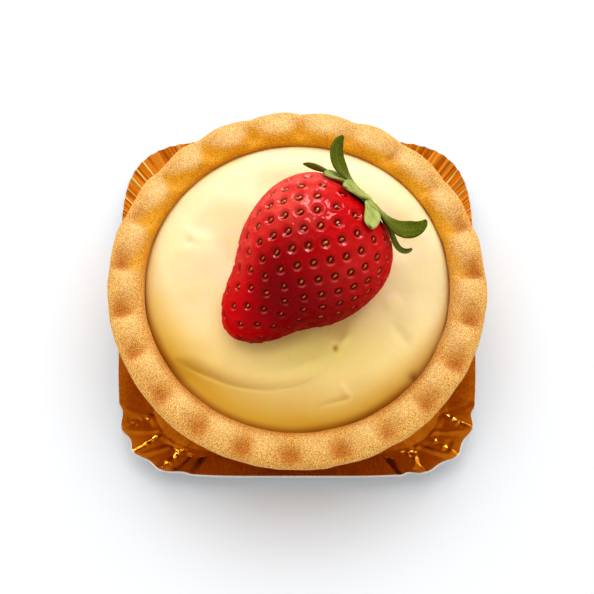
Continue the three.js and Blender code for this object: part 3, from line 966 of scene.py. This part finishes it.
def shoulder_at(distance):
    """The berry's skin at a distance from the leafy end's middle, as (radius, height, slope)."""
    step = 0.0005
    radius = 0.0
    height = BERRY_LENGTH
    share = 1.0
    while True:
        share -= step
        wider = berry_radius(share) - radius
        lower = height - share * BERRY_LENGTH
        stride = math.hypot(wider, lower)
        part = min(1.0, distance / stride)
        radius += wider * part
        height -= lower * part
        distance -= stride
        if distance <= 0:
            return radius, height, math.atan2(-lower, wider)


def spine_at(length, cling, curl, distance):
    """A leaf's middle line: along the berry's shoulder, then freely curling."""
    radius, height, start = shoulder_at(min(distance, cling))
    strides = 12
    stride = max(0.0, distance - cling) / strides
    slope = start
    for k in range(strides):
        share = stride * (k + 0.5) / (length - cling)
        slope = start + math.radians(curl) * share * share
        radius += stride * math.cos(slope)
        height += stride * math.sin(slope)
    return radius, height, slope


def leaf_row(leaf, layer, share):
    """Middle, sideways and facing directions and half width of a leaf at a share of its length."""
    turn, length, width, cling, curl, roll, _ = leaf
    heading = math.radians(turn)
    outward = Vector((math.cos(heading), math.sin(heading), 0))
    sideways = Vector((-math.sin(heading), math.cos(heading), 0))
    distance = LEAF_ROOT + (length - LEAF_ROOT) * share
    radius, height, slope = spine_at(length, cling, curl, distance)
    ahead = outward * math.cos(slope) + Vector((0, 0, math.sin(slope)))
    twist = math.radians(roll) * smooth(distance, cling, length)
    across = Matrix.Rotation(twist, 3, ahead) @ sideways
    face = ahead.cross(across)
    middle = outward * radius + Vector((0, 0, height)) + face * (LEAF_LIFT + layer)
    taper = (1 - share**3.2) ** 0.6 * (0.6 + 0.4 * smooth(share, 0, 0.5))
    return middle, across, face, width / 2 * max(0.08, taper)


def add_leaf(bm, leaf, layer, seed):
    """One leaf: a grid laid along its spine, then given its thickness."""
    lit_paleness, vein, tip = (bm.verts.layers.float[name] for name in LEAF_MASKS)
    made = bmesh.ops.create_grid(bm, x_segments=LEAF_COLUMNS, y_segments=LEAF_ROWS, size=1)
    rows = {}
    for vert in made["verts"]:
        side, share = vert.co.x, (vert.co.y + 1) / 2
        key = round(share * LEAF_ROWS)
        if key not in rows:
            rows[key] = leaf_row(leaf, layer, share)
        middle, across, face, half = rows[key]
        free = smooth(share, 0.3, 0.8)
        cup = LEAF_CUP * half * side * side + free * LEAF_RIPPLE * side * math.sin(9 * share + seed)
        groove = LEAF_GROOVE * bell(side, 0.16) * (1 - share)
        vert.co = middle + across * (side * half) + face * (cup - groove)
        # paleness is painted light for lit and shaded leaves, and paler towards the root
        vert[lit_paleness] = min(1.0, leaf[-1] + 0.6 * (1 - smooth(share, 0.1, 0.4)))
        vert[vein] = bell(side, 0.14) * (1 - smooth(share, 0.6, 0.95))
        vert[tip] = 0.8 * smooth(share, 0.95, 1.0)
    faces = list({face for vert in made["verts"] for face in vert.link_faces})
    bmesh.ops.recalc_face_normals(bm, faces=faces)
    bmesh.ops.solidify(bm, geom=faces, thickness=LEAF_THICKNESS)


def make_cap():
    """The cap that the leaves grow from, with the stub of the stalk, in the berry's own frame."""
    low = BERRY_LENGTH + CAP_GAP
    half = 0.5 * CAP_HEIGHT
    edge = arc((CAP_RADIUS - CAP_ROUND, low + half), (CAP_ROUND, half), -90, 60, 6)
    dome = straight((0.55 * CAP_RADIUS, low + CAP_HEIGHT), (CAP_KNOB + 0.1, low + 1.25 * CAP_HEIGHT), 4)
    stub = arc((0, low + 1.1 * CAP_HEIGHT), (CAP_KNOB, 0.3 * CAP_HEIGHT), 30, 90, 4)
    cap = turn_profile(straight((0, low), (CAP_RADIUS, low), 3) + edge + dome + stub, CAP_STEPS)
    lit_paleness = cap.verts.layers.float.new("lit_paleness")
    for vert in cap.verts:
        angle = math.atan2(vert.co.y, vert.co.x)
        lobes = 1 + 0.10 * ring_noise(angle, 2.4, 5.5)
        vert.co = (vert.co.x * lobes, vert.co.y * lobes, vert.co.z + 0.1 * noise.noise(vert.co))
        vert[lit_paleness] = 1.0
    return cap


def make_leaves():
    """The leaves and their cap, joined in one piece and laid with the berry."""
    bm = bmesh.new()
    for name in LEAF_MASKS:
        bm.verts.layers.float.new(name)
    for index, leaf in enumerate(LEAVES):
        add_leaf(bm, leaf, (index % 2) * LEAF_LAYER, LEAF_RIPPLE_SHIFT * index)
    cap = make_cap()
    joined = bpy.data.meshes.new("cap")
    cap.to_mesh(joined)
    cap.free()
    bm.from_mesh(joined)
    bpy.data.meshes.remove(joined)
    bmesh.ops.transform(bm, matrix=berry_place(), verts=bm.verts)
    return hand_over(bm, "strawberry_leaves", "leaves", "leaf", leaf_material())


# Tray


def square_radius(half, angle):
    """Radius of a square with rounded corners, in the direction of an angle."""
    power = TRAY_SQUARENESS
    return half / (abs(math.cos(angle)) ** power + abs(math.sin(angle)) ** power) ** (1 / power)


def pleat_at(angle):
    """How far the pleats lift and push out the lip, how pleated the place is, and how near a fold."""
    turned = math.degrees(angle) % 360
    for middle, period, pleats, height, bulge in TRAY_CORNERS:
        aside = turned - middle
        half = period * pleats / 2
        if abs(aside) > half + 0.5 * period:
            continue
        uneven = aside + 0.18 * period * noise.noise(Vector((aside / period, middle, 0.3)))
        wave = math.cos(FULL_TURN * uneven / period)
        across = abs(math.sin(math.pi * uneven / period))
        ridge = 1 - 2 * across ** (0.6 if bulge else 1)
        window = 1 - smooth(abs(aside), half, half + 0.5 * period)
        return height * ridge * window, bulge * wave * window, window, window * bell(across, 0.4)
    return 0.0, 0.0, 0.0, 0.0


def foil_fold_at(x, y):
    """Height of the small sharp folds in the foil."""
    rise = 0.0
    for start, end, height in FOIL_FOLDS:
        line = Vector(end) - Vector(start)
        spot = Vector((x, y)) - Vector(start)
        along = spot.dot(line) / line.length_squared
        away = abs(spot.cross(line)) / line.length
        reach = smooth(along, -0.06, 0.1) * (1 - smooth(along, 0.88, 1.06))
        rise += height * reach * max(0.0, 1 - away / FOIL_FOLD_WIDTH)
    return rise


def make_tray():
    """The pressed card: a flat square base whose walls flare out and are pleated at the corners."""
    shares = [0, 0.3, 0.6, 0.85, 1] + [1 + (row + 1) / TRAY_WALL_ROWS for row in range(TRAY_WALL_ROWS)]
    bm = turn_profile([(share, 0) for share in shares], TRAY_STEPS)
    reflection_streak = bm.verts.layers.float.new("reflection_streak")
    glint = bm.verts.layers.float.new("glint")
    for vert in bm.verts:
        spot = math.hypot(vert.co.x, vert.co.y)
        angle = math.atan2(vert.co.y, vert.co.x)
        wall = max(0.0, spot - 1)
        lift, push, pleated, fold = pleat_at(angle)
        half = TRAY_BASE_HALF * min(1.0, spot) + (TRAY_HALF - TRAY_BASE_HALF) * wall
        radius = square_radius(half, angle) + push * wall
        height = (TRAY_HEIGHT - CARD) * wall**TRAY_FLARE + lift * smooth(wall, 0, 0.3) * (0.5 + 0.5 * wall)
        place = Vector((radius * math.cos(angle), radius * math.sin(angle), 0))
        at_back = math.sin(angle) > 0
        if not at_back:
            crumple = fold * smooth(wall, 0, 0.1) * (1 - smooth(wall, 0.6, 0.95))
            height += crumple * FOIL_CRUMPLE * noise.noise(place / 0.9)
            height += smooth(wall, 0, 0.15) * foil_fold_at(place.x, place.y)
        vert.co = (place.x, place.y, height)
        # painted reflections on the back corners: darker streaks and bright glints, stronger on the right
        stripes = noise.noise(Vector((math.degrees(angle) / FOIL_STRIPE, 0.6 * wall, 2.2)))
        vert[reflection_streak] = pleated * (0.25 + 0.75 * smooth(stripes, 0, 0.4)) if at_back else 0.0
        brightness = 0.75 + 0.4 * math.cos(angle)
        vert[glint] = brightness * pleated * smooth(-stripes, 0.04, 0.3) if at_back else 0.0
    lower = bm.faces[:]
    raised = bmesh.ops.extrude_face_region(bm, geom=lower, use_keep_orig=True)
    upper = [part for part in raised["geom"] if isinstance(part, bmesh.types.BMVert)]
    for vert in upper:
        angle = math.atan2(vert.co.y, vert.co.x)
        up_wall = smooth(vert.co.z, 0.0, 1.0)
        lean = TRAY_WALL_LEAN * up_wall
        inward = CARD * math.sin(lean)
        vert.co += Vector((-inward * math.cos(angle), -inward * math.sin(angle), CARD * math.cos(lean)))
    bmesh.ops.recalc_face_normals(bm, faces=bm.faces)
    shown = set(upper)
    for face in bm.faces:
        face.material_index = 0 if all(vert in shown for vert in face.verts) else 1
    tray = hand_over(bm, "gold_tray", "tray", "gold_card", gold_material(), card_material())
    tray.data.set_sharp_from_angle(angle=TRAY_CREASE)
    return tray


# Floor, light and camera


def make_floor():
    bm = bmesh.new()
    bmesh.ops.create_grid(bm, x_segments=1, y_segments=1, size=FLOOR_HALF)
    mesh = bpy.data.meshes.new("floor")
    bm.to_mesh(mesh)
    bm.free()
    material, tree, shader = new_material("Pale floor")
    set_up(tree, shader, Base_Color=(0.745, 0.762, 0.785, 1), Roughness=0.6, Specular_IOR_Level=0.2)
    mesh.materials.append(material)
    floor = bpy.data.objects.new("floor", mesh)
    bpy.context.scene.collection.objects.link(floor)


def aim(thing, place, target):
    thing.location = place
    thing.rotation_mode = "QUATERNION"
    thing.rotation_quaternion = (Vector(target) - Vector(place)).to_track_quat("-Z", "Y")


def add_light(name, place, width, height, power, gloss_only=False):
    lamp = bpy.data.lights.new(name, "AREA")
    lamp.shape = "RECTANGLE"
    lamp.size = width
    lamp.size_y = height
    lamp.energy = power
    light = bpy.data.objects.new(name, lamp)
    bpy.context.scene.collection.objects.link(light)
    light.visible_diffuse = not gloss_only
    aim(light, place, LIGHT_TARGET)


def make_light():
    """A wide soft lamp behind and above, a lower panel for the gloss, and a surround dim overhead."""
    add_light("wide_lamp", **WIDE_LAMP)
    add_light("gloss_panel", **GLOSS_PANEL, gloss_only=True)
    world = bpy.data.worlds.new("surround")
    world.use_nodes = True
    tree = world.node_tree
    surround = tree.nodes["Background"]
    ray = add_node(tree, "LightPath")
    heading = add_node(tree, "TexCoord").outputs["Generated"]
    overhead = add_node(tree, "VectorMath", {0: heading, 1: OVERHEAD}, operation="DOT_PRODUCT")
    dimmed = add_node(
        tree,
        "MapRange",
        {
            "Value": overhead.outputs["Value"],
            "From Min": 0.3,
            "From Max": 0.95,
            "To Min": SURROUND_LEVELS[0],
            "To Max": SURROUND_LEVELS[1],
        },
    )
    seen = blend(tree, ray.outputs["Is Camera Ray"], dimmed.outputs["Result"], BACKDROP)
    tree.links.new(seen, surround.inputs["Color"])
    bpy.context.scene.world = world


def make_camera():
    """Looks steeply down from the front."""
    lens = bpy.data.cameras.new("camera")
    lens.lens = CAMERA_LENS
    lens.sensor_width = CAMERA_SENSOR
    camera = bpy.data.objects.new("camera", lens)
    bpy.context.scene.collection.objects.link(camera)
    back = Vector((0, -math.cos(CAMERA_ELEVATION), math.sin(CAMERA_ELEVATION)))
    aim(camera, CAMERA_TARGET + back * CAMERA_AWAY, CAMERA_TARGET)
    bpy.context.scene.camera = camera


make_camera()
make_light()
make_floor()
make_tray()
make_crust()
berry_body = make_berry_body()
bmesh.ops.transform(berry_body, matrix=berry_place(), verts=berry_body.verts)
make_custard(berry_body)
hand_over(berry_body, "strawberry_flesh", "strawberry", "berry_skin", berry_material())
make_seeds()
make_leaves()
bpy.context.scene.view_settings.view_transform = "Standard"
bpy.context.scene.view_settings.look = "Medium High Contrast"
bpy.context.scene.view_settings.exposure = EXPOSURE
